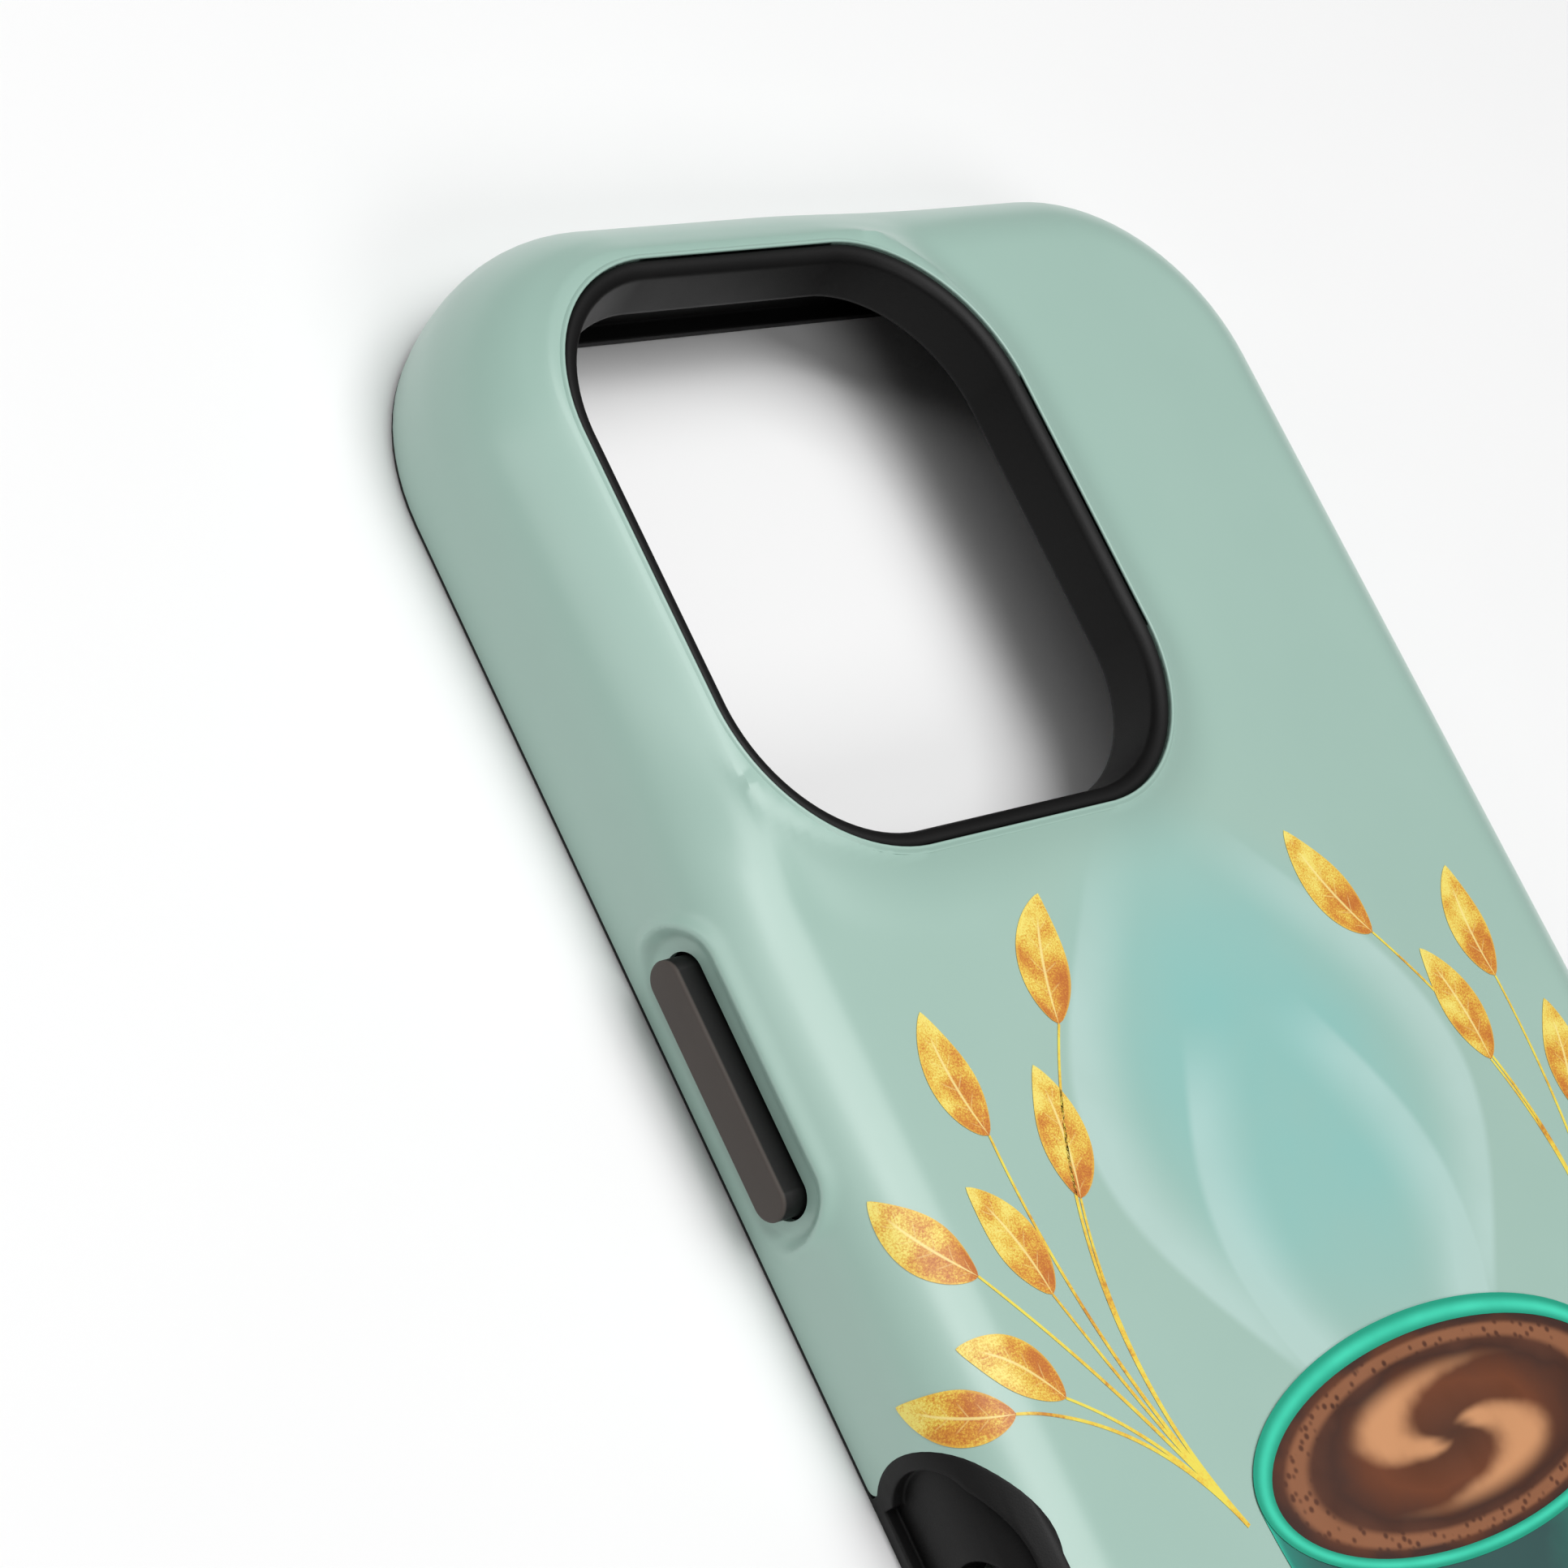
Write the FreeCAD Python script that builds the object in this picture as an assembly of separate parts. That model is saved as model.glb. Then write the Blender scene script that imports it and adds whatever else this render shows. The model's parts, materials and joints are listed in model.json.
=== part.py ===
"""Two-layer protective case for a flat phone, lying face down: rim at Z = 0, printed back up.

X runs across the case, Y along it with the camera window towards +Y, Z out of the back.
A hard shell snaps over a soft liner. The liner holds the phone, frames the camera window and
carries a ring of magnets; four sliding buttons are held between the two layers. All in mm.
"""
import FreeCAD, Part
import math
import os

V = FreeCAD.Vector

# The phone that the case is made for
phone_length = 149.6
phone_width = 71.5
phone_thickness = 8.25
phone_corner = 12.9
phone_edge_round = 1.2
phone_clearance = 0.1

# Liner
liner_side = 2.6
liner_back = 1.0
lip_height = 0.9
lip_overhang = 1.3
lip_round = 0.3
collar_wall = 1.3
collar_taper = 0.6
collar_drop = 0.15
collar_round = 0.4

# Shell
shell_wall = 1.15
back_round = 6.3
side_inset = 0.8
rim_step = 0.35
end_reveal = 1.2
end_reveal_width = 56.0

# Camera window
window_width = 42.2
window_length = 44.1
window_corner = 12.3
window_from_side = 5.4
window_from_end = 5.7
camera_rise = 1.9
camera_foot = 4.6
window_land = 0.4
window_bevel = 0.3

# Buttons: (side of the case, middle measured from the phone's camera end, length)
buttons = {
    "power_button": (-1, 55.6, 17.8),
    "action_button": (1, 37.8, 7.6),
    "volume_up_button": (1, 52.4, 12.6),
    "volume_down_button": (1, 67.2, 12.6),
}
button_height = 2.8
button_drop = 0.2
button_proud = 1.0
button_edge_round = 0.4
button_travel = 0.35
slot_clearance = 0.25
flange_border = 0.8
flange_thickness = 0.6
flange_gap = 0.08
pocket_clearance = 0.25
nub_height = 1.8
nub_end_inset = 3.0
nub_clearance = 0.15
recess_border = 2.3
recess_depth_back = 0.92
recess_depth_front = 0.53
recess_floor_low_z = 1.2
boss_depth = 1.9
boss_margin = 0.6
# Recesses in the shell, each shared by the buttons named in it
recesses = [["power_button"], ["action_button"], ["volume_up_button", "volume_down_button"]]

# Touch-control opening on the -X side. Its outline is given at one end, as pairs of how far
# short of the full half length it stands and how far under the back face
control_from_end = 98.8
control_half_length = 18.4
control_foot_step = 1.3
control_foot_z = 1.0
control_waist_drop = 0.5
control_shoulder = (2.4, 2.3)
control_corner = (4.9, 1.15)
control_top = (9.4, 0.74)
control_band = 1.1
control_dish_depth = 1.0
control_window_length = 22.0
control_window_height = 4.6

# Bottom end
liner_port_border = 0.3
port_width = 13.4
port_height = 6.6
speaker_slot_width = 13.0
speaker_slot_height = 2.2
speaker_slot_x = 20.5

# Magnets
ring_outer = 55.0
ring_inner = 46.0
ring_from_end = 75.4
ring_magnet_count = 36
ring_magnet_gap = 0.15
magnet_thickness = 0.45
film_thickness = 0.1
film_border = 0.25
pocket_margin = 0.1
bar_width = 6.5
bar_length = 19.6
bar_magnet_count = 2
bar_from_ring = 4.2

# What follows from the sizes above
wall_total = phone_clearance + liner_side + shell_wall
case_width = phone_width + 2 * wall_total
case_length = phone_length + 2 * wall_total
case_corner = phone_corner + wall_total
half_x = case_width / 2
half_y = case_length / 2
phone_back_z = lip_height + phone_thickness
liner_back_z = phone_back_z + liner_back
back_z = liner_back_z + shell_wall
round_z = back_z - back_round
window_top_z = back_z + camera_rise
collar_top_z = window_top_z - collar_drop
window_x = -half_x + window_from_side + window_width / 2
window_y = half_y - window_from_end - window_length / 2
cavity_x = phone_width / 2 + phone_clearance
cavity_y = phone_length / 2 + phone_clearance
cavity_corner = phone_corner + phone_clearance
phone_end_y = phone_length / 2
phone_middle_z = lip_height + phone_thickness / 2
button_middle_z = phone_middle_z - button_drop
control_middle_y = phone_end_y - control_from_end
ring_middle_y = phone_end_y - ring_from_end
bar_middle_y = ring_middle_y - ring_outer / 2 - bar_from_ring - bar_length / 2
flange_face_x = half_x - boss_depth - flange_gap
flange_back_x = flange_face_x - flange_thickness
flange_middle_x = flange_face_x - flange_thickness / 2
pocket_floor_x = flange_back_x - button_travel - flange_gap
nub_tip_x = phone_width / 2 + button_travel + flange_gap
pocket_low_z = liner_back_z - magnet_thickness - 2 * film_thickness
magnet_low_z = pocket_low_z + film_thickness
film_low_z = magnet_low_z + magnet_thickness

# How far cutting blocks run past what they cut: well clear of it, or just through a face
over = 5.0
cut_past = 0.01


def arc_middle(start, end, centre, radius):
    """Point on the arc about `centre`, halfway between two of its points."""
    ax, ay = (start[0] + end[0]) / 2 - centre[0], (start[1] + end[1]) / 2 - centre[1]
    size = math.hypot(ax, ay)
    return centre[0] + ax * radius / size, centre[1] + ay * radius / size


def wall_edges(points, place):
    """Edges through a chain of points, where place() turns each into a 3-D point.

    A chain item is a point, or a pair (middle, end) for an arc from the point before it."""
    edges = []
    last = points[0]
    for item in points[1:]:
        if isinstance(item[0], tuple):
            middle, end = item
            edges.append(Part.Arc(place(last), place(middle), place(end)).toShape())
            last = end
        else:
            edges.append(Part.LineSegment(place(last), place(item)).toShape())
            last = item
    return edges, last


def section_face(points, place, inner):
    """Face between a chain of (inset, z) points and the line where the inset is `inner`."""
    edges, last = wall_edges(points, place)
    top = (inner, last[1])
    foot = (inner, points[0][1])
    closing = [(last, top), (top, foot), (foot, points[0])]
    edges += [Part.LineSegment(place(a), place(b)).toShape() for a, b in closing]
    return Part.Face(Part.Wire(edges))


def moulded_body(size_x, size_y, corner, points):
    """Solid with the side section `points` all round a rounded rectangle (half sizes)."""
    core_x, core_y = size_x - corner, size_y - corner
    along_y = section_face(points, lambda p: V(size_x - p[0], 0, p[1]), size_x)
    along_x = section_face(points, lambda p: V(0, size_y - p[0], p[1]), size_y)
    turned = section_face(points, lambda p: V(size_x - p[0], core_y, p[1]), corner)
    pieces = [
        along_x.extrude(V(core_x, 0, 0)),
        turned.revolve(V(core_x, core_y, 0), V(0, 0, 1), 90),
    ]
    quarter = along_y.extrude(V(0, core_y, 0)).fuse(pieces)
    half = quarter.fuse(quarter.mirror(V(0, 0, 0), V(1, 0, 0)))
    whole = half.fuse(half.mirror(V(0, 0, 0), V(0, 1, 0)))
    return whole.removeSplitter().Solids[0]


def side_section(offset, low, top_radius):
    """Side wall, `offset` inside the outer face: a gentle bulge, then a round of top_radius."""
    radius_low = round_z ** 2 / (2 * side_inset) + side_inset / 2

    def low_inset(z):
        return radius_low - math.sqrt((radius_low - offset) ** 2 - (round_z - z) ** 2)

    low_centre = (radius_low, round_z)
    start, waist = (low_inset(low), low), (offset, round_z)
    bulge = arc_middle(start, waist, low_centre, radius_low - offset)
    top = (top_radius, round_z + top_radius - offset)
    knee = arc_middle(waist, top, (top_radius, round_z), top_radius - offset)
    return [start, (bulge, waist), (knee, top)]


def case_body(offset, low):
    section = side_section(offset, low, back_round)
    return moulded_body(half_x, half_y, case_corner, section)


def stadium_prism(x_low, x_high, middle_y, middle_z, length, height):
    """Bar along X whose section is a slot with round ends, long way along Y."""
    r = height / 2
    y0, y1 = middle_y - length / 2 + r, middle_y + length / 2 - r
    z0, z1 = middle_z - r, middle_z + r
    edges = [
        Part.LineSegment(V(x_low, y0, z0), V(x_low, y1, z0)).toShape(),
        Part.Arc(V(x_low, y1, z0), V(x_low, y1 + r, middle_z), V(x_low, y1, z1)).toShape(),
        Part.LineSegment(V(x_low, y1, z1), V(x_low, y0, z1)).toShape(),
        Part.Arc(V(x_low, y0, z1), V(x_low, y0 - r, middle_z), V(x_low, y0, z0)).toShape(),
    ]
    return Part.Face(Part.Wire(edges)).extrude(V(x_high - x_low, 0, 0))


def on_side(shape, side):
    """The shape as made for the +X side, or its mirror image for the -X side."""
    return shape if side > 0 else shape.mirror(V(0, 0, 0), V(1, 0, 0))


def fused(shapes):
    return shapes[0].fuse(shapes[1:]).removeSplitter() if len(shapes) > 1 else shapes[0]


# Camera window and the raised area round it

def camera_hill():
    """Raised area round the window, running out past the two near edges of the case."""
    reach_x = window_x + window_width / 2 + camera_foot
    reach_y = window_y - window_length / 2 - camera_foot
    corner = window_corner + camera_foot
    size_x, size_y = (reach_x + half_x + over + corner) / 2, (half_y + over + corner - reach_y) / 2
    run = camera_foot - window_land
    radius = (run ** 2 + camera_rise ** 2) / (2 * camera_rise)
    foot, land = (back_round, back_z), (back_round + run, window_top_z)
    blend = arc_middle(foot, land, (back_round, back_z + radius), radius)
    chain = [(0.0, round_z), foot, (blend, land)]
    hill = moulded_body(size_x + back_round, size_y + back_round, corner + back_round, chain)
    hill.translate(V(reach_x - size_x, reach_y + size_y, 0))
    drop = window_top_z - round_z
    side = window_from_side - window_land
    tall_radius = (side ** 2 + drop ** 2) / (2 * side)
    tall = moulded_body(half_x, half_y, case_corner, side_section(0.0, rim_step, tall_radius))
    return hill.common(tall)


def window_block(inset, low, high, flare=0.0):
    """Plug through the camera window, `inset` inside its edge, wider by `flare` at the top."""
    grow = max(flare, 0.0)
    size_x = window_width / 2 - inset + grow
    size_y = window_length / 2 - inset + grow
    corner = window_corner - inset + grow
    plug = moulded_body(size_x, size_y, corner, [(grow, low), (0.0, high)])
    plug.translate(V(window_x, window_y, 0))
    return plug


# Openings in the sides

def control_outline(border, x_low, x_high):
    """Bar along X through the touch-control opening, `border` inside its edge."""
    half = control_half_length - border

    def under_back(pair):
        return control_half_length - pair[0] - border, back_z - pair[1] - border

    foot = (half - control_foot_step, border if border else -over)
    knee = (half - control_foot_step, border + control_foot_z)
    waist = (half, round_z - control_waist_drop)
    top = under_back(control_top)
    chain = [foot, knee, (waist, under_back(control_shoulder)),
             (under_back(control_corner), top)]

    def place(side):
        return lambda p: V(x_low, control_middle_y + side * p[0], p[1])

    near, _ = wall_edges(chain, place(1))
    far, _ = wall_edges(chain, place(-1))
    ends = [Part.LineSegment(place(1)(p), place(-1)(p)).toShape() for p in (foot, top)]
    edges = Part.__sortEdges__(near + far + ends)
    return Part.Face(Part.Wire(edges)).extrude(V(x_high - x_low, 0, 0))


def end_reveal_cutter():
    """Bar along Y, curved on top: the shell's edge lifts over it at the two ends."""
    half = end_reveal_width / 2
    ends = [V(-half, 0, rim_step), V(half, 0, rim_step)]
    arch = Part.Arc(ends[0], V(0, 0, rim_step + end_reveal), ends[1]).toShape()
    chord = Part.LineSegment(ends[1], ends[0]).toShape()
    bar = Part.Face(Part.Wire([arch, chord])).extrude(V(0, case_length + 2 * over, 0))
    bar.translate(V(0, -half_y - over, 0))
    middle = Part.makeBox(case_width, case_length - 2 * case_corner, back_z)
    middle.translate(V(-half_x, case_corner - half_y, 0))
    return bar.cut(middle)


def bottom_openings(border):
    """Charging port and the two sound slots, `border` inside their edges."""
    sizes = [(0.0, port_width, port_height)]
    sizes += [(s * speaker_slot_x, speaker_slot_width, speaker_slot_height) for s in (-1, 1)]
    depth = wall_total + phone_corner
    bars = []
    for middle_x, width, height in sizes:
        bar = stadium_prism(0, depth, 0, 0, width - 2 * border, height - 2 * border)
        bar.rotate(V(0, 0, 0), V(0, 0, 1), -90)
        bar.translate(V(middle_x, -half_y + depth - over, phone_middle_z))
        bars.append(bar)
    return bars


def rim_slab():
    """Everything under the shell's lower edge."""
    slab = Part.makeBox(case_width + 2 * over, case_length + 2 * over, rim_step + over)
    slab.translate(V(-half_x - over, -half_y - over, -over))
    return slab


# Buttons

def button_bar(name, x_low, x_high, border):
    side, from_end, length = buttons[name]
    bar = stadium_prism(x_low, x_high, phone_end_y - from_end, button_middle_z,
                        length + 2 * border, button_height + 2 * border)
    return on_side(bar, side)


def nub_bar(name, x_low, x_high, border):
    side, from_end, length = buttons[name]
    bar = stadium_prism(x_low, x_high, phone_end_y - from_end, button_middle_z,
                        length - nub_end_inset + 2 * border, nub_height + 2 * border)
    return on_side(bar, side)


def flange_pocket(name, x_high):
    """Room behind the wall for a button's flange and its travel."""
    return button_bar(name, pocket_floor_x, x_high, flange_border + pocket_clearance)


def make_button(name):
    side = buttons[name][0]
    face_x = half_x + button_proud
    cap = button_bar(name, flange_middle_x, face_x, 0)
    outer = [e for e in cap.Edges
             if all(math.isclose(v.X, side * face_x) for v in e.Vertexes)]
    cap = cap.makeFillet(button_edge_round, outer)
    flange = button_bar(name, flange_back_x, flange_face_x, flange_border)
    nub = nub_bar(name, nub_tip_x, flange_middle_x, 0)
    return fused([cap, flange, nub])


def recess_span(names):
    ends = [phone_end_y - buttons[n][1] + s * buttons[n][2] / 2 for n in names for s in (-1, 1)]
    low, high = min(ends) - recess_border, max(ends) + recess_border
    return (low + high) / 2, high - low


def recess_cutter(names):
    """Dished pocket round one or more buttons, deeper towards the back of the case."""
    side = buttons[names[0]][0]
    middle, length = recess_span(names)
    height = button_height + 2 * recess_border
    rise = button_middle_z + height / 2 - recess_floor_low_z
    slope = math.atan((recess_depth_back - recess_depth_front) / rise)
    floor_x = half_x - (recess_depth_back + recess_depth_front) / 2
    bar = stadium_prism(floor_x, half_x + over, middle, button_middle_z, length, height)
    bar.rotate(V(floor_x, middle, button_middle_z), V(0, 1, 0), -math.degrees(slope))
    return on_side(bar, side)


def boss_block(names, body):
    """Thickened wall of the shell behind a recess, flat inside where the flanges rest."""
    side = buttons[names[0]][0]
    middle, length = recess_span(names)
    height = button_height + 2 * recess_border
    bar = stadium_prism(half_x - boss_depth, half_x + over, middle, button_middle_z,
                        length - 2 * boss_margin, height - 2 * boss_margin)
    return on_side(bar, side).common(body)


# Magnets

def ring_plate(outer, inner, low, thickness):
    ring = Part.makeCylinder(outer / 2, thickness).cut(Part.makeCylinder(inner / 2, thickness))
    ring.translate(V(0, ring_middle_y, low))
    return ring


def bar_plate(border, low, thickness):
    width, length = bar_width + 2 * border, bar_length + 2 * border
    plate = Part.makeBox(width, length, thickness)
    plate.translate(V(-width / 2, bar_middle_y - length / 2, low))
    return plate


def ring_magnets():
    """Arc magnets set side by side round the ring."""
    step = 360.0 / ring_magnet_count
    ring = ring_plate(ring_outer, ring_inner, magnet_low_z, magnet_thickness)
    pieces = []
    for i in range(ring_magnet_count):
        gap = Part.makeBox(ring_outer, ring_magnet_gap, magnet_thickness)
        gap.translate(V(0, ring_middle_y - ring_magnet_gap / 2, magnet_low_z))
        gap.rotate(V(0, ring_middle_y, 0), V(0, 0, 1), i * step)
        pieces.append(gap)
    return Part.makeCompound(ring.cut(pieces).Solids)


def bar_magnets():
    """Short bar of block magnets under the ring, which stops a charger turning."""
    pitch = bar_length / bar_magnet_count
    blocks = []
    for i in range(bar_magnet_count):
        block = Part.makeBox(bar_width, pitch - ring_magnet_gap, magnet_thickness)
        foot = bar_middle_y - bar_length / 2 + i * pitch + ring_magnet_gap / 2
        block.translate(V(-bar_width / 2, foot, magnet_low_z))
        blocks.append(block)
    return Part.makeCompound(blocks)


# The two layers

def make_shell(body, hill, skin):
    shell = body.fuse(hill).removeSplitter().cut([rim_slab(), skin])
    shell = shell.fuse([boss_block(names, body) for names in recesses])
    cutters = [recess_cutter(names) for names in recesses]
    cutters += [flange_pocket(name, half_x - boss_depth) for name in buttons]
    cutters += [button_bar(n, cavity_x, half_x + over, slot_clearance) for n in buttons]
    bevel_z = window_top_z - window_bevel
    cutters += [window_block(0, phone_back_z, bevel_z),
                window_block(0, bevel_z, window_top_z + cut_past, window_bevel)]
    cutters += [control_outline(0, -half_x - over, -half_x + 2 * back_round)]
    cutters += [end_reveal_cutter()] + bottom_openings(0)
    return shell.cut(cutters).removeSplitter()


def make_liner(body, skin):
    control_bar = control_outline(0, -half_x - over, -half_x + 2 * back_round)
    fills = [body.common(bar) for bar in (rim_slab(), end_reveal_cutter(), control_bar)]
    fills.append(window_block(0, phone_back_z, collar_top_z))
    liner = skin.fuse(fills).removeSplitter()
    liner = round_collar(liner)
    cavity = moulded_body(cavity_x, cavity_y, cavity_corner, cavity_section())
    mouth = moulded_body(cavity_x - lip_overhang, cavity_y - lip_overhang,
                         cavity_corner - lip_overhang,
                         [(-lip_round, -cut_past), (0.0, lip_round), (0.0, 2 * lip_height)])
    light_way = window_block(collar_wall + collar_taper, phone_back_z - phone_edge_round,
                             collar_top_z + cut_past, collar_taper)
    dish_bar = control_outline(control_band, -half_x - over, -half_x + 2 * back_round)
    dish = dish_bar.cut(case_body(control_dish_depth, 0.0))
    control_window = stadium_prism(cavity_x - over, half_x + over, control_middle_y,
                                   phone_middle_z, control_window_length,
                                   control_window_height)
    cutters = [cavity, mouth, light_way, dish, on_side(control_window, -1)]
    cutters += [boss_block(names, body) for names in recesses]
    for name in buttons:
        cutters.append(flange_pocket(name, half_x + over))
        cutters.append(nub_bar(name, cavity_x - over, half_x, nub_clearance))
    magnet_border = film_border + pocket_margin
    cutters.append(ring_plate(ring_outer + 2 * magnet_border, ring_inner - 2 * magnet_border,
                              pocket_low_z, liner_back))
    cutters.append(bar_plate(magnet_border, pocket_low_z, liner_back))
    cutters += bottom_openings(liner_port_border)
    return liner.cut(cutters).removeSplitter()


def round_collar(liner):
    """Round the outer top edge of the frame round the camera window."""
    edges = [e for e in liner.Edges
             if all(math.isclose(v.Z, collar_top_z) for v in e.Vertexes)]
    return liner.makeFillet(collar_round, edges)


def cavity_section():
    r = phone_edge_round
    knee = arc_middle((0.0, phone_back_z - r), (r, phone_back_z), (r, phone_back_z - r), r)
    return [(0.0, lip_height), (0.0, phone_back_z - r), (knee, (r, phone_back_z))]


def save(name, shape):
    os.makedirs("parts", exist_ok=True)
    shape.exportStep("parts/" + name + ".step")
    box = shape.optimalBoundingBox(False, False)
    print(name, len(shape.Solids), "solid(s)", round(shape.Volume, 1), "mm3",
          [round(v, 2) for v in (box.XMin, box.XMax, box.YMin, box.YMax, box.ZMin, box.ZMax)])


body = case_body(0.0, 0.0)
skin = case_body(shell_wall, 0.0)
save("outer_shell", make_shell(body, camera_hill(), skin))
save("inner_liner", make_liner(body, skin))
for button in buttons:
    save(button, make_button(button))
save("ring_adhesive", ring_plate(ring_outer + 2 * film_border, ring_inner - 2 * film_border,
                                 pocket_low_z, film_thickness))
save("ring_magnets", ring_magnets())
cover_film = ring_plate(ring_outer + 2 * film_border, ring_inner - 2 * film_border,
                        film_low_z, film_thickness)
save("ring_cover_film", cover_film.common(skin))
save("alignment_adhesive", bar_plate(film_border, pocket_low_z, film_thickness))
save("alignment_magnets", bar_magnets())
save("alignment_cover_film", bar_plate(film_border, film_low_z, film_thickness))
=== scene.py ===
"""Looks of a printed two-layer phone case, lying face down with its printed back up.

A mint shell over a black liner, four grey side buttons, and a print of gold leaf sprigs, steam and
a cup of coffee. Metres, in the same frame as the CAD part: X across, Y to the camera end, Z up.
"""
import json
import math

import bmesh
import bpy
from mathutils import Matrix, Vector
from mathutils.bvhtree import BVHTree


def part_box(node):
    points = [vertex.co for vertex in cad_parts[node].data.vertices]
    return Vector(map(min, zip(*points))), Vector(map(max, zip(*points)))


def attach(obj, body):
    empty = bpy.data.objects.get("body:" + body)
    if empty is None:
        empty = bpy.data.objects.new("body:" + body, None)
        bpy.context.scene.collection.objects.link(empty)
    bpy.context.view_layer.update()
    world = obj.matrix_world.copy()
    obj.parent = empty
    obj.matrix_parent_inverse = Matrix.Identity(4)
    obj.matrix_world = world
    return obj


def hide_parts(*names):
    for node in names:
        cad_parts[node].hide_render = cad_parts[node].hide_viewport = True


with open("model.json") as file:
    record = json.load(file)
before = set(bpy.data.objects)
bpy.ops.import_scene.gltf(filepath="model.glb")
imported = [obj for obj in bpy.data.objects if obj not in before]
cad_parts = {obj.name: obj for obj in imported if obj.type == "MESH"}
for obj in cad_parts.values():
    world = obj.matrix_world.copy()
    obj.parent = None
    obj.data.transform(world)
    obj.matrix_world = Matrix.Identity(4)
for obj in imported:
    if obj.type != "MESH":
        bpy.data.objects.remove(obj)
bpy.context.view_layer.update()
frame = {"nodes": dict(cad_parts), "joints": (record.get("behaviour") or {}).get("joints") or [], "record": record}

mm = 0.001
merge_gap = 0.002 * mm
mounts = {mount["name"]: mount for mount in frame["record"]["mounts"]}
openings = {o["name"]: o["box_m"] for o in frame["record"]["physics"]["openings"]}

# The shell's outer form
shell_low, shell_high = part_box("outer_shell")
half_x, half_y = shell_high.x, shell_high.y
rim_z = shell_low.z
back_z = mounts["back_face"]["pos_m"][2]
window_top_z = shell_high.z
case_corner = 16.75 * mm
back_round = 6.3 * mm
round_z = back_z - back_round
side_inset = 0.8 * mm
shell_wall = 1.15 * mm
core_x, core_y = half_x - case_corner, half_y - case_corner
end_reveal = 1.2 * mm
end_reveal_half = 28.0 * mm

# Camera window and the rise round it
window_x = sum(corner[0] for corner in openings["camera_window"]) / 2
window_y = sum(corner[1] for corner in openings["camera_window"]) / 2
window_half_x, window_half_y = 21.1 * mm, 22.05 * mm
window_corner = 12.3 * mm
window_land = 0.4 * mm
window_bevel = 0.12 * mm
bead_height, bead_width = 0.16 * mm, 0.5 * mm
hill_top_z = window_top_z - bead_height
window_from_side = 5.4 * mm
hill_foot = 5.6 * mm
hill_blend = 9.0 * mm

# Button recesses and slots
slot_clearance = 0.25 * mm
slot_reach = 4 * mm
recess_border = 2.1 * mm
recess_deep, recess_shallow = 1.09 * mm, 0.5 * mm
recess_low_z = 1.2 * mm
recess_wall = 1.1 * mm
lip_proud, lip_width = 0.3 * mm, 0.5 * mm
lip_low_z, lip_full_z = 2.0 * mm, 4.6 * mm
recess_groups = [["power_button"], ["action_button"], ["volume_up_button", "volume_down_button"]]
flange_border = 0.8 * mm

# Mesh steps
corner_steps = 20
side_step = 0.45 * mm
flat_step = 0.9 * mm
button_zone_half = 43.0 * mm
button_zone_step = 0.5 * mm
window_steps = 24

# Touch-control opening: (short of the half length, under the back) at one end of its outline
control_half_length = 18.4 * mm
control_foot_step = 1.3 * mm
control_waist_drop = 0.5 * mm
control_shoulder = (2.4 * mm, 2.3 * mm)
control_corner = (4.9 * mm, 1.15 * mm)
control_top = (9.4 * mm, 0.74 * mm)
control_y = sum(corner[1] for corner in openings["touch_control_window"]) / 2
lug_round = 0.7 * mm

# How far the cutters reach past what they cut
cut_reach, liner_cut_reach = 6 * mm, 1 * mm

# Charging opening and sound slots
port_z = sum(corner[2] for corner in openings["charging_port"]) / 2
port_size = (13.4 * mm, 6.6 * mm)
sound_slot_size = (13.0 * mm, 2.2 * mm)
sound_slot_x = 20.5 * mm

# The print: its lift off the shell and its mesh steps
print_lift = 0.03 * mm
print_step = 0.24 * mm
stem_width = 0.34 * mm
stem_step = 0.4 * mm
full_turn = 2 * math.pi

# Cup: middle of its rim, half width, half height of the rim's oval, and its depth
cup_x, cup_y = 0.0, -17.5 * mm
cup_half, cup_oval = 20.0 * mm, 8.2 * mm
cup_height = 27.0 * mm
cup_taper = 0.3
cup_rim = 1.5 * mm
handle_reach = (8.2 * mm, 9.0 * mm)
handle_hole = (5.4 * mm, 6.0 * mm)
handle_hole_rise = 0.4 * mm

# Steam: a glow (middle x, y, half width, half height), and mirrored ribbons that each have a
# (sideways bulge, top y) and run from top to foot with a crisp outer side
steam_glow = (0.0, 8.0 * mm, 19.0 * mm, 22.0 * mm)
steam_width = 3.4 * mm
steam_bulges = ((12.0 * mm, 28.0 * mm), (4.5 * mm, 14.0 * mm))
steam_top_x = 2 * mm
steam_foot_x, steam_foot_y = 5 * mm, -14 * mm
steam_ribbons = [((side * steam_top_x, top_y), (side * steam_foot_x, steam_foot_y),
                  side * bulge, steam_width, side)
                 for side in (-1, 1) for bulge, top_y in steam_bulges]

# Sprigs: a fan of bowed stems beside the cup, each ending in a leaf, and its mirror image
sprig_root_x, sprig_root_y = 21.5 * mm, -18.0 * mm
sprig_stems = 7
sprig_lean = (math.radians(-8), math.radians(50))
sprig_reach = (34.0 * mm, 18.0 * mm)
sprig_common_lean = math.radians(24)
sprig_alternate = 0.72
leaf_length = (9.5 * mm, 7.5 * mm)
leaf_slim, leaf_bow = 0.46, 0.5 * mm
edge_leaf_start = 36.0 * mm

# Keys
key_face_x = max(-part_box(name)[0].x for group in recess_groups for name in group)
key_edge = 0.26 * mm
key_crown = 0.06 * mm
flange_gap = 0.08 * mm
flange_thickness = 0.6 * mm
boss_depth = 1.9 * mm
nub_half, nub_short = 0.9 * mm, 1.5 * mm

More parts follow.
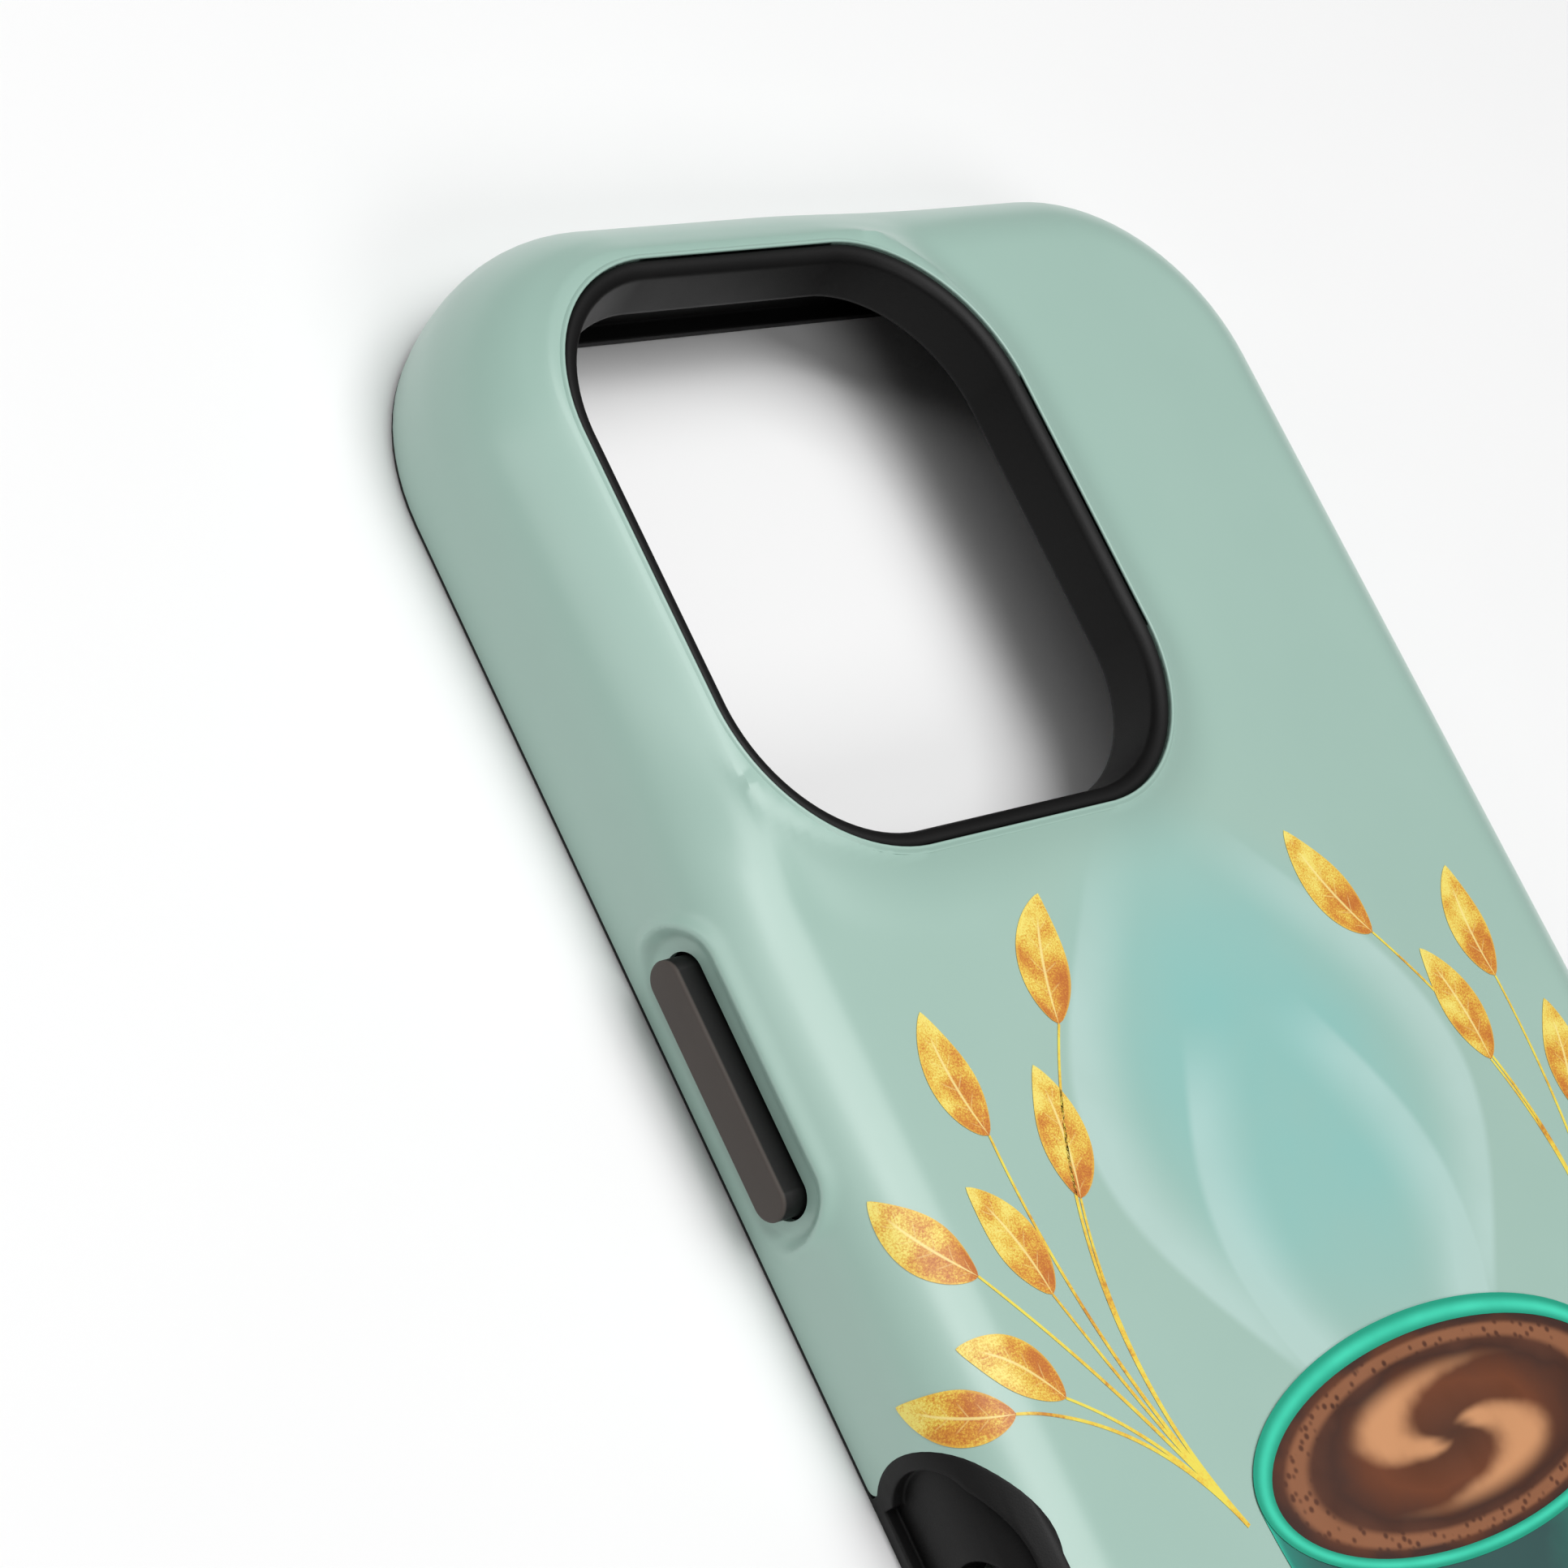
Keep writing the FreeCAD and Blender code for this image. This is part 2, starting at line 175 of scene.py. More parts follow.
# Rubber frame in the camera window, and the rubber round the touch control
phone_back_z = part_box("inner_liner")[0].z + 9.15 * mm
collar_drop = 0.15 * mm
collar_round = 0.35 * mm
collar_wall = 1.3 * mm
collar_fall = 0.75 * mm
collar_taper = 0.6 * mm
collar_fit = 0.03 * mm
control_softness = 0.5 * mm
phone_side_gap = 12.0 * mm


# Small helpers for shapes

def smooth_step(value, low, high):
    t = min(max((value - low) / (high - low), 0.0), 1.0)
    return t * t * (3 - 2 * t)


def spread(low, high, step):
    """Evenly spaced values from low to high, about `step` apart."""
    count = max(1, round(abs(high - low) / step))
    return [low + (high - low) * i / count for i in range(count + 1)]


def rounded_rect_distance(x, y, half_w, half_l, corner):
    """Distance outside a rounded rectangle about the origin; negative inside."""
    dx, dy = abs(x) - half_w + corner, abs(y) - half_l + corner
    outside = math.hypot(max(dx, 0.0), max(dy, 0.0))
    return outside + min(max(dx, dy), 0.0) - corner


def piece(name, bm, materials, body, replaces=()):
    """Turn a finished bmesh into an object that rides on a CAD body."""
    mesh = bpy.data.meshes.new(name)
    bm.to_mesh(mesh)
    bm.free()
    made = bpy.data.objects.new(name, mesh)
    bpy.context.scene.collection.objects.link(made)
    for material in materials:
        mesh.materials.append(material)
    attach(made, body)
    if replaces:
        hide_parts(*replaces)
    return made


def shade_by_angle(bm, limit):
    """Smooth faces, with an edge kept sharp where its faces turn by more than `limit` degrees."""
    for face in bm.faces:
        face.smooth = True
    for edge in bm.edges:
        turn = edge.calc_face_angle(0.0)
        edge.smooth = turn < math.radians(limit)


def modified_mesh(made):
    """The object's mesh with its modifiers applied, as a new mesh."""
    bpy.context.view_layer.update()
    seen = made.evaluated_get(bpy.context.evaluated_depsgraph_get())
    return bpy.data.meshes.new_from_object(seen)


def apply_modifiers(made):
    mesh = modified_mesh(made)
    made.modifiers.clear()
    made.data = mesh
    return made


def weight_normals(made):
    """Keep flat faces flat in shading beside rounded ones."""
    weighted = made.modifiers.new("flat_faces", "WEIGHTED_NORMAL")
    weighted.keep_sharp = True
    weighted.weight = 80


# Materials

class Wire:
    """One output of a shader node, which can take part in sums."""

    def __init__(self, finish, socket):
        self.finish = finish
        self.socket = socket

    def sum(self, operation, *values):
        return self.finish.node("ShaderNodeMath", {"operation": operation}, enumerate(values))

    def __add__(self, other):
        return self.sum("ADD", self, other)

    def __sub__(self, other):
        return self.sum("SUBTRACT", self, other)

    def __rsub__(self, other):
        return self.sum("SUBTRACT", other, self)

    def __mul__(self, other):
        return self.sum("MULTIPLY", self, other)

    def __truediv__(self, other):
        return self.sum("DIVIDE", self, other)

    def __pow__(self, other):
        return self.sum("POWER", self, other)

    def __abs__(self):
        return self.sum("ABSOLUTE", self)

    __radd__ = __add__
    __rmul__ = __mul__

    def sine(self):
        return self.sum("SINE", self)

    def at_least(self, other):
        return self.sum("MAXIMUM", self, other)

    def at_most(self, other):
        return self.sum("MINIMUM", self, other)

    def step_up(self, low, high):
        """0 below low, 1 above high, smooth between."""
        settings = {"interpolation_type": "SMOOTHSTEP"}
        return self.finish.node("ShaderNodeMapRange", settings,
                                {"Value": self, "From Min": low, "From Max": high})


class Finish:
    """A material, and the nodes that make it."""

    def __init__(self, name):
        self.material = bpy.data.materials.new(name)
        self.material.use_nodes = True
        self.tree = self.material.node_tree
        self.tree.nodes.clear()

    def node(self, kind, settings=None, inputs=(), out=0):
        made = self.tree.nodes.new(kind)
        for key, value in (settings or {}).items():
            if key == "stops":
                self.set_stops(made.color_ramp, value)
            else:
                setattr(made, key, value)
        for key, value in dict(inputs).items():
            if isinstance(value, Wire):
                self.tree.links.new(value.socket, made.inputs[key])
            else:
                made.inputs[key].default_value = value
        return Wire(self, made.outputs[out]) if made.outputs else None

    def set_stops(self, ramp, stops):
        while len(ramp.elements) < len(stops):
            ramp.elements.new(1.0)
        for element, (position, colour) in zip(ramp.elements, stops):
            element.position = position
            element.color = colour

    def place(self):
        """The point on the piece, in metres."""
        return self.node("ShaderNodeTexCoord", out="Object")

    def parts_of(self, vector):
        return [self.node("ShaderNodeSeparateXYZ", None, {0: vector}, out=i) for i in range(3)]

    def sheet_place(self, layer):
        """Along and across a printed piece, from its own map."""
        return self.parts_of(self.node("ShaderNodeUVMap", {"uv_map": layer}))[:2]

    def noise(self, size, detail=3.0, roughness=0.5, at=None):
        """Soft noise with patches about `size` metres across."""
        settings = {"noise_dimensions": "3D"}
        return self.node("ShaderNodeTexNoise", settings,
                         {"Vector": at or self.place(), "Scale": 1 / size,
                          "Detail": detail, "Roughness": roughness})

    def grains(self, size, at=None, out="Distance"):
        return self.node("ShaderNodeTexVoronoi", None,
                         {"Vector": at or self.place(), "Scale": 1 / size}, out=out)

    def ramp(self, amount, stops):
        return self.node("ShaderNodeValToRGB", {"stops": stops}, {"Fac": amount})

    def blend(self, amount, a, b):
        settings = {"data_type": "RGBA"}
        return self.node("ShaderNodeMix", settings, {"Factor": amount, 6: a, 7: b}, out=2)

    def bump(self, height, depth, strength=1.0, under=None):
        inputs = {"Height": height, "Distance": depth, "Strength": strength}
        if under:
            inputs["Normal"] = under
        return self.node("ShaderNodeBump", None, inputs, out="Normal")

    def surface(self, **inputs):
        named = {key.replace("_", " "): value for key, value in inputs.items()}
        shader = self.node("ShaderNodeBsdfPrincipled", None, named)
        self.node("ShaderNodeOutputMaterial", None, {"Surface": shader})
        return self.material


def shade(red, green, blue):
    """A colour from its 0-255 screen values."""
    def linear(value):
        v = value / 255
        return v / 12.92 if v <= 0.04045 else ((v + 0.055) / 1.055) ** 2.4
    return linear(red), linear(green), linear(blue), 1.0


def steam_ribbon(x, y, top, foot, bulge, width, crisp_side):
    """How strongly one ribbon of steam shows; it swells sideways between its foot and its top."""
    (top_x, top_y), (foot_x, foot_y) = top, foot
    climb = ((y - foot_y) / (top_y - foot_y)).at_least(0.0).at_most(1.0)
    swell = (climb * math.pi).sine() ** 1.3
    middle = climb * (top_x - foot_x) + foot_x + swell * bulge
    across = (x - middle) * (crisp_side / width)
    ends = climb.step_up(0.0, 0.16) * (1 - climb.step_up(0.72, 1.0))
    return across.step_up(-0.9, 1.0) * (1 - across.step_up(1.0, 1.3)) * ends


def mint_shell_finish():
    """Satin mint plastic with a fine orange-peel skin, and printed steam over the cup."""
    f = Finish("mint_shell")
    place = f.place()
    x, y, z = f.parts_of(place)
    clouds = f.noise(14 * mm, 4.0)
    colour = f.blend(clouds, shade(160, 192, 180), shade(167, 198, 186))
    on_back = z.step_up(back_z - 1 * mm, back_z - 0.5 * mm)
    glow_x = abs(x - steam_glow[0]) / steam_glow[2]
    glow_y = abs(y - steam_glow[1]) / steam_glow[3]
    glow = 1 - (glow_x * glow_x + glow_y * glow_y).step_up(0.0, 1.0)
    wisps = f.noise(9 * mm, 3.0)
    colour = f.blend(glow * on_back * (0.35 + 0.5 * wisps), colour, shade(128, 198, 194))
    steam = 0.0
    for ribbon in steam_ribbons:
        steam = steam_ribbon(x, y, *ribbon) + steam
    veil = (steam * (0.5 + wisps)).at_most(1.0) * on_back
    colour = f.blend(veil * 0.42, colour, shade(205, 232, 228))
    skin = f.noise(0.35 * mm, 2.0)
    rubs = f.noise(5 * mm, 5.0, 0.65)
    return f.surface(Base_Color=colour, Roughness=0.36 + 0.1 * rubs,
                     Normal=f.bump(skin, 0.008 * mm, 0.35), Coat_Weight=0.6, Coat_Roughness=0.28)


def foil_leaf_finish():
    """Printed gold foil: yellow to orange patches, a glitter grain and pale veins."""
    f = Finish("foil_leaf")
    along, across = f.sheet_place("leaf_map")
    away = abs(across - 0.5) * 2
    patches = f.noise(2.2 * mm, 2.0, 0.5)
    grain = f.noise(0.14 * mm, 2.0, 0.8)
    warmth = 0.86 - along * 0.6 - across * 0.12 + (patches - 0.5) * 1.4 + (grain - 0.5) * 1.5
    colour = f.ramp(warmth, [(0.16, shade(246, 228, 116)), (0.42, shade(234, 194, 72)),
                             (0.66, shade(216, 142, 48)), (0.95, shade(194, 108, 38))])
    rib = (1 - away.step_up(0.02, 0.08)) * (1 - along.step_up(0.7, 0.85))
    branches = ((along - away * 0.2) * (2 * math.pi * 6)).sine()
    branches = branches.step_up(0.93, 0.99) * (1 - away.step_up(0.35, 0.6)) * patches
    colour = f.blend(rib.at_least(branches * 0.7) * 0.8, colour, shade(252, 232, 150))
    edge = away.step_up(0.84, 0.98)
    colour = f.blend(edge * 0.45, colour, shade(246, 208, 84))
    return f.surface(Base_Color=colour, Roughness=0.32 + 0.25 * grain,
                     Normal=f.bump(grain, 0.01 * mm, 0.4), Coat_Weight=0.15, Coat_Roughness=0.3)


def foil_stem_finish():
    """Thin printed foil lines, yellow with orange stretches."""
    f = Finish("foil_stem")
    patches = f.noise(3 * mm, 3.0)
    grain = f.noise(0.25 * mm, 2.0, 0.7)
    colour = f.ramp(patches + (grain - 0.5) * 0.5,
                    [(0.4, shade(240, 222, 84)), (0.56, shade(236, 196, 66)),
                     (0.72, shade(206, 136, 44))])
    return f.surface(Base_Color=colour, Roughness=0.4 + 0.2 * grain, Coat_Weight=0.15,
                     Coat_Roughness=0.3)


def cup_side_finish():
    """Glazed teal cup side, bright at its left edge and deep towards the right."""
    f = Finish("cup_glaze")
    down, across = f.sheet_place("leaf_map")
    glaze = f.noise(3 * mm, 4.0)
    tone = across + (glaze - 0.5) * 0.06
    colour = f.ramp(tone, [(0.0, shade(50, 200, 168)), (0.07, shade(44, 132, 118)),
                           (0.2, shade(50, 88, 84)), (0.55, shade(52, 84, 82)),
                           (0.8, shade(46, 146, 124)), (1.0, shade(58, 226, 184))])
    colour = f.blend(down.step_up(0.2, 1.0) * 0.3, colour, shade(40, 150, 126))
    return f.surface(Base_Color=colour, Roughness=0.3 + 0.1 * glaze, Coat_Weight=0.15,
                     Coat_Roughness=0.3)


def cup_rim_finish():
    """Bright glazed rim and handle, lighter along its middle."""
    f = Finish("cup_rim_glaze")
    along, across = f.sheet_place("leaf_map")
    shine = f.noise(5 * mm, 3.0)
    middle = 1 - (abs(across - 0.45) * 2).step_up(0.0, 0.9)
    colour = f.blend(middle * (0.4 + shine * 0.7), shade(26, 158, 128), shade(72, 226, 190))
    return f.surface(Base_Color=colour, Roughness=0.3 + 0.1 * shine, Coat_Weight=0.15,
                     Coat_Roughness=0.3)


def coffee_finish():
    """Coffee with a ring of foam bubbles and a stirred cream swirl."""
    f = Finish("coffee_cream")
    turn, out = f.sheet_place("leaf_map")
    bubbles = f.grains(0.7 * mm)
    stir = f.noise(5 * mm, 3.0, 0.5)
    deep = f.ramp(out + (stir - 0.5) * 0.3,
                  [(0.0, shade(74, 40, 22)), (0.45, shade(110, 58, 30)), (0.72, shade(66, 34, 20)),
                   (0.9, shade(96, 52, 30)), (1.0, shade(58, 30, 20))])
    ring = out.step_up(0.78, 0.84) * (1 - out.step_up(0.9, 0.95))
    foam = ring * bubbles.step_up(0.15, 0.45)
    colour = f.blend(foam * 0.6, deep, shade(170, 112, 76))
    arms = ((turn * 2 + out * 1.1) * (2 * math.pi)).sine() + (stir - 0.5) * 1.2
    cream = arms.step_up(-0.2, 0.9) * (1 - out.step_up(0.5, 0.72)) * out.step_up(0.04, 0.16)
    colour = f.blend(cream * 0.85, colour, shade(222, 160, 112))
    return f.surface(Base_Color=colour, Roughness=0.3 + 0.2 * stir, Coat_Weight=0.15,
                     Coat_Roughness=0.3)


def black_liner_finish():
    """Matte black rubber with a fine moulded grain."""
    f = Finish("black_liner")
    patches = f.noise(6 * mm, 4.0)
    colour = f.blend(patches, shade(8, 8, 8), shade(13, 12, 12))
    grain = f.noise(0.12 * mm, 3.0)
    worn_edges = f.node("ShaderNodeBevel", {"samples": 6}, {"Radius": 0.3 * mm})
    return f.surface(Base_Color=colour, Roughness=0.42 + 0.16 * patches, IOR=1.35,
                     Normal=f.bump(grain, 0.02 * mm, 0.5, worn_edges))


def grey_button_finish():
    """Rubber key: warm grey face, near-black sides, with a fine matte grain."""
    f = Finish("grey_button")
    x = f.parts_of(f.place())[0]
    face = abs(x).step_up(key_face_x - 0.45 * mm, key_face_x - 0.2 * mm)
    patches = f.noise(3 * mm, 4.0)
    grey = f.blend(patches, shade(72, 66, 62), shade(82, 75, 71))
    colour = f.blend(face, shade(19, 18, 18), grey)
    grain = f.noise(0.1 * mm, 3.0)
    return f.surface(Base_Color=colour, Roughness=0.5 + 0.15 * patches, IOR=1.35,
                     Normal=f.bump(grain, 0.015 * mm, 0.5))


def magnet_finish():
    """Nickel-plated magnet: bright, lightly brushed."""
    f = Finish("nickel_magnet")
    brush = f.noise(0.3 * mm, 4.0)
    colour = f.blend(brush, shade(176, 175, 172), shade(202, 201, 198))
    return f.surface(Base_Color=colour, Metallic=1.0, Roughness=0.28 + 0.15 * brush)


def tape_finish(name, light, dark):
    f = Finish(name)
    fibres = f.noise(0.6 * mm, 5.0)
    return f.surface(Base_Color=f.blend(fibres, dark, light), Roughness=0.6 + 0.2 * fibres,
                     Normal=f.bump(fibres, 0.02 * mm, 0.4))


# The shell

def outer_section():
    """Side of the shell as (inset, z) points, from the rim up to where the corners' axis is."""
    sag = round_z * round_z / (2 * side_inset) + side_inset / 2
    points = []
    for z in spread(rim_z, round_z, side_step)[:-1]:
        points.append((sag - math.sqrt(sag * sag - (round_z - z) ** 2), z))
    for turn in spread(0.0, math.pi / 2, side_step / back_round):
        points.append((back_round * (1 - math.cos(turn)), round_z + back_round * math.sin(turn)))
    points += [(inset, back_z) for inset in spread(back_round, case_corner, flat_step)[1:]]
    return points


def inner_section():
    """Inside of the shell, which lies on the liner, in the same form."""
    radius = back_round - shell_wall
    points = [(side_inset + shell_wall, rim_z), (shell_wall, round_z)]
    for turn in spread(0.0, math.pi / 2, math.pi / 12)[1:]:
        points.append((back_round - radius * math.cos(turn), round_z + radius * math.sin(turn)))
    points.append((case_corner, back_z - shell_wall))
    return points


def add_chain(bm, points):
    verts = [bm.verts.new(p) for p in points]
    edges = [bm.edges.new(pair) for pair in zip(verts, verts[1:])]
    return edges


def extrude_along(bm, edges, axis, stops):
    """Push a chain of edges along one axis through the given coordinates."""
    for here, there in zip(stops, stops[1:]):
        made = bmesh.ops.extrude_edge_only(bm, edges=edges)["geom"]
        verts = [g for g in made if isinstance(g, bmesh.types.BMVert)]
        step = Vector((0, 0, 0))
        step[axis] = there - here
        bmesh.ops.translate(bm, verts=verts, vec=step)
        edges = [g for g in made if isinstance(g, bmesh.types.BMEdge)]


def plain_shell():
    """The plain shell, both skins and the rim: corners spun, straights pushed out, then mirrored."""
    section = list(reversed(inner_section())) + outer_section()
    lines_x = spread(core_x, 0.0, flat_step)
    lines_y = spread(core_y, button_zone_half, 2 * button_zone_step)
    lines_y += spread(button_zone_half, 0.0, button_zone_step)[1:]
    bm = bmesh.new()
    corner = add_chain(bm, [(half_x - inset, core_y, z) for inset, z in section])
    bmesh.ops.spin(bm, geom=corner, cent=(core_x, core_y, 0), axis=(0, 0, 1),
                   angle=math.pi / 2, steps=corner_steps)
    inside_flat = [(x, core_y, section[0][1]) for x in reversed(lines_x[1:])]
    outside_flat = [(x, core_y, section[-1][1]) for x in lines_x[1:]]
    side = [(half_x - inset, core_y, z) for inset, z in section]
    extrude_along(bm, add_chain(bm, inside_flat + side + outside_flat), 1, lines_y)
    end = [(core_x, half_y - inset, z) for inset, z in section]
    extrude_along(bm, add_chain(bm, end), 0, lines_x)
    bmesh.ops.remove_doubles(bm, verts=bm.verts, dist=merge_gap)
    for axis in "XY":
        geometry = bm.verts[:] + bm.edges[:] + bm.faces[:]
        bmesh.ops.mirror(bm, geom=geometry, axis=axis, merge_dist=merge_gap)
    bmesh.ops.remove_doubles(bm, verts=bm.verts, dist=merge_gap)
    bmesh.ops.recalc_face_normals(bm, faces=bm.faces)
    return bm


def plan_of(x, y):
    """How far a point lies inside the case's outline, and the way out across the outline."""
    reach = Vector((max(abs(x) - core_x, 0.0), max(abs(y) - core_y, 0.0)))
    if reach.length < merge_gap:
        return case_corner, Vector((0, 0))
    out = reach.normalized()
    signed = Vector((math.copysign(out.x, x), math.copysign(out.y, y)))
    return case_corner - reach.length, signed


def window_distance(x, y):
    return rounded_rect_distance(x - window_x, y - window_y, window_half_x, window_half_y,
                                 window_corner)


def rise_weight(x, y, inset):
    """0 on the plain back, 1 beside the camera window, for the rise between them."""
    away = window_distance(x, y)
    run = hill_foot - window_land
    height = hill_top_z - back_z
    radius = (run * run + height * height) / (2 * height)
    left = min(max(hill_foot - away, 0.0), run)
    near = (radius - math.sqrt(radius * radius - left * left)) / height
    low_y = window_y - window_half_y + window_corner
    high_x = window_x + window_half_x - window_corner
    past_y = smooth_step(y, low_y - 2.0 * hill_blend, low_y + 2 * mm)
    past_x = smooth_step(-x, -high_x - 2.0 * hill_blend, -high_x + 2 * mm)
    side = past_y * past_x * (1 - smooth_step(inset, 4 * mm, 9 * mm))
    return 1 - (1 - near) * (1 - side)


def rise_round():
    """Radius and sweep of the taller round beside the camera window."""
    side = window_from_side - window_land
    drop = hill_top_z - round_z
    radius = (side * side + drop * drop) / (2 * side)
    return radius, math.asin(drop / radius)


def raised(point):
    """The outer skin's point with the rise to the camera window added."""
    x, y, z = point
    inset, out = plan_of(x, y)
    tall_radius, sweep = rise_round()
    if z <= round_z + merge_gap:
        return point
    if inset < back_round:
        turn = math.atan2(z - round_z, back_round - inset)
        low = Vector((back_round * (1 - math.cos(turn)), round_z + back_round * math.sin(turn)))
        angle = turn / (math.pi / 2) * sweep
        tall = Vector((tall_radius * (1 - math.cos(angle)), round_z + tall_radius * math.sin(angle)))
    else:
        low = Vector((inset, back_z))
        land_inset = window_from_side - window_land
        share = (inset - back_round) / (case_corner - back_round)
        tall = Vector((land_inset + share * (case_corner - land_inset), hill_top_z))
    weight = rise_weight(x, y, inset)
    made = low.lerp(tall, weight)
    moved = out * (inset - made.x)
    return Vector((x + moved.x, y + moved.y, made.y))


def button_boxes(names):
    """Side, middle along Y, middle height, length and height of the keys in one recess."""
    lows, highs = zip(*[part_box(name) for name in names])
    side = math.copysign(1, lows[0].x)
    low_y = min(low.y for low in lows) + flange_border
    high_y = max(high.y for high in highs) - flange_border
    low_z, high_z = lows[0].z + flange_border, highs[0].z - flange_border
    return side, (low_y + high_y) / 2, (low_z + high_z) / 2, high_y - low_y, high_z - low_z


def recessed(point):
    """The point sunk into the dished pocket round a button, or raised on the lip round it."""
    x, y, z = point
    if abs(x) < core_x:
        return point
    for names in recess_groups:
        side, mid_y, mid_z, length, height = button_boxes_of[names[0]]
        if side * x < 0 or abs(y - mid_y) > length / 2 + 3 * recess_border:
            continue
        half_length, half_height = length / 2 + recess_border, height / 2 + recess_border
        away = rounded_rect_distance(y - mid_y, z - mid_z, half_length, half_height, half_height)
        share = (z - recess_low_z) / (mid_z + half_height - recess_low_z)
        floor = half_x - (recess_shallow + share * (recess_deep - recess_shallow))
        inside = 1 - smooth_step(away, -recess_wall, 0.0)
        lip = lip_proud * math.exp(-((away / lip_width) ** 2)) * smooth_step(z, lip_low_z, lip_full_z)
        x = side * (abs(x) + (min(floor, abs(x)) - abs(x)) * inside + lip)
    return Vector((x, y, z))


def lifted_rim(point):
    """The shell's lower edge lifts in a shallow arch at the two ends."""
    x, y, z = point
    if abs(y) < core_y or abs(x) > end_reveal_half or z > round_z:
        return point
    lift = end_reveal * (1 - (x / end_reveal_half) ** 2)
    share = (round_z - z) / (round_z - rim_z)
    return Vector((x, y, z + lift * share))


def refine_recess_zones(bm):
    """Finer faces where the button pockets will be."""
    zone = []
    for names in recess_groups:
        side, mid_y, mid_z, length, height = button_boxes_of[names[0]]
        reach_y = length / 2 + recess_border + 1.2 * mm
        top_z = mid_z + height / 2 + recess_border + 1.2 * mm
        for edge in bm.edges:
            middle = (edge.verts[0].co + edge.verts[1].co) / 2
            near = side * middle.x > core_x and abs(middle.y - mid_y) < reach_y
            if near and rim_z + side_step < middle.z < top_z and on_outside(middle):
                zone.append(edge)
    bmesh.ops.subdivide_edges(bm, edges=list(set(zone)), cuts=2, use_grid_fill=True)
    bmesh.ops.triangulate(bm, faces=[face for face in bm.faces if len(face.verts) > 4])


def round_loop(bm, half_w, half_l, corner, z, steps):
    """A rounded rectangle of edges about the origin at height z."""
    loop = bmesh.ops.create_circle(bm, radius=corner, segments=4 * steps, cap_ends=False)["verts"]
    bmesh.ops.rotate(bm, verts=loop, cent=(0, 0, 0),
                     matrix=Matrix.Rotation(math.pi / (4 * steps), 3, "Z"))
    for vert in loop:
        vert.co.x += math.copysign(half_w - corner, vert.co.x)
        vert.co.y += math.copysign(half_l - corner, vert.co.y)
        vert.co.z = z
    return list({edge for vert in loop for edge in vert.link_edges})


def stacked_plug(levels, steps=16):
    """Closed plug through a list of (half width, half length, corner, z) levels."""
    bm = bmesh.new()
    loops = [round_loop(bm, *level, steps) for level in levels]
    for low, high in zip(loops, loops[1:]):
        bmesh.ops.bridge_loops(bm, edges=low + high)
    bmesh.ops.contextual_create(bm, geom=loops[0])
    bmesh.ops.contextual_create(bm, geom=loops[-1])
    bmesh.ops.recalc_face_normals(bm, faces=bm.faces)
    return bm


def turned_to_side(bm, side, mid_y, mid_z):
    """A plug made upright about the origin, laid along X through one side of the case."""
    bmesh.ops.rotate(bm, verts=bm.verts, cent=(0, 0, 0), matrix=Matrix.Rotation(math.pi / 2, 3, "Y"))
    bmesh.ops.translate(bm, verts=bm.verts, vec=(side * half_x, mid_y, mid_z))
    return bm


def window_plug(low, high):
    """A plug with the camera window's outline between two heights."""
    bm = stacked_plug([(window_half_x, window_half_y, window_corner, z) for z in (low, high)],
                      window_steps)
    bmesh.ops.translate(bm, verts=bm.verts, vec=(window_x, window_y, 0))
    return bm


def slot_cutter(name):
    side, mid_y, mid_z, length, height = button_boxes([name])
    r = height / 2 + slot_clearance
    half_length = length / 2 + slot_clearance
    plug = stacked_plug([(r, half_length, r, z) for z in (-slot_reach, slot_reach)])
    return turned_to_side(plug, side, mid_y, mid_z)


def end_cutter(mid_x, width, height, mid_z):
    r = height / 2
    plug = stacked_plug([(width / 2, r, r, z) for z in (-cut_reach, cut_reach)])
    bmesh.ops.rotate(plug, verts=plug.verts, cent=(0, 0, 0),
                     matrix=Matrix.Rotation(math.pi / 2, 3, "X"))
    bmesh.ops.translate(plug, verts=plug.verts, vec=(mid_x, -half_y, mid_z))
    return plug


def arc_through(start, middle, end, steps):
    """Points of the arc through three points, without its first one."""
    (ax, ay), (bx, by), (cx, cy) = start, middle, end
    d = 2 * (ax * (by - cy) + bx * (cy - ay) + cx * (ay - by))
    a2, b2, c2 = ax * ax + ay * ay, bx * bx + by * by, cx * cx + cy * cy
    ox = (a2 * (by - cy) + b2 * (cy - ay) + c2 * (ay - by)) / d
    oy = (a2 * (cx - bx) + b2 * (ax - cx) + c2 * (bx - ax)) / d
    radius = math.hypot(ax - ox, ay - oy)
    first = math.atan2(ay - oy, ax - ox)
    last = math.atan2(cy - oy, cx - ox)
    turn = (last - first + math.pi) % (2 * math.pi) - math.pi
    return [(ox + radius * math.cos(first + turn * i / steps),
             oy + radius * math.sin(first + turn * i / steps)) for i in range(1, steps + 1)]


def control_outline():
    """Half of the opening's outline as (distance from its middle, z), from the rim up."""
    half = control_half_length

    def under_back(pair):
        return half - pair[0], back_z - pair[1]

    foot = (half - control_foot_step + lug_round, rim_z)
    knee = (half - control_foot_step, rim_z + lug_round)
    nearer = 0.3 * lug_round
    corner = (half - control_foot_step + nearer, rim_z + nearer)
    points = [(foot[0] + lug_round, rim_z - 5 * mm), foot]
    points += arc_through(foot, corner, knee, 5)
    points += arc_through(knee, (half, round_z - control_waist_drop), under_back(control_shoulder), 14)
    points += arc_through(under_back(control_shoulder), under_back(control_corner),
                          under_back(control_top), 10)
    return points


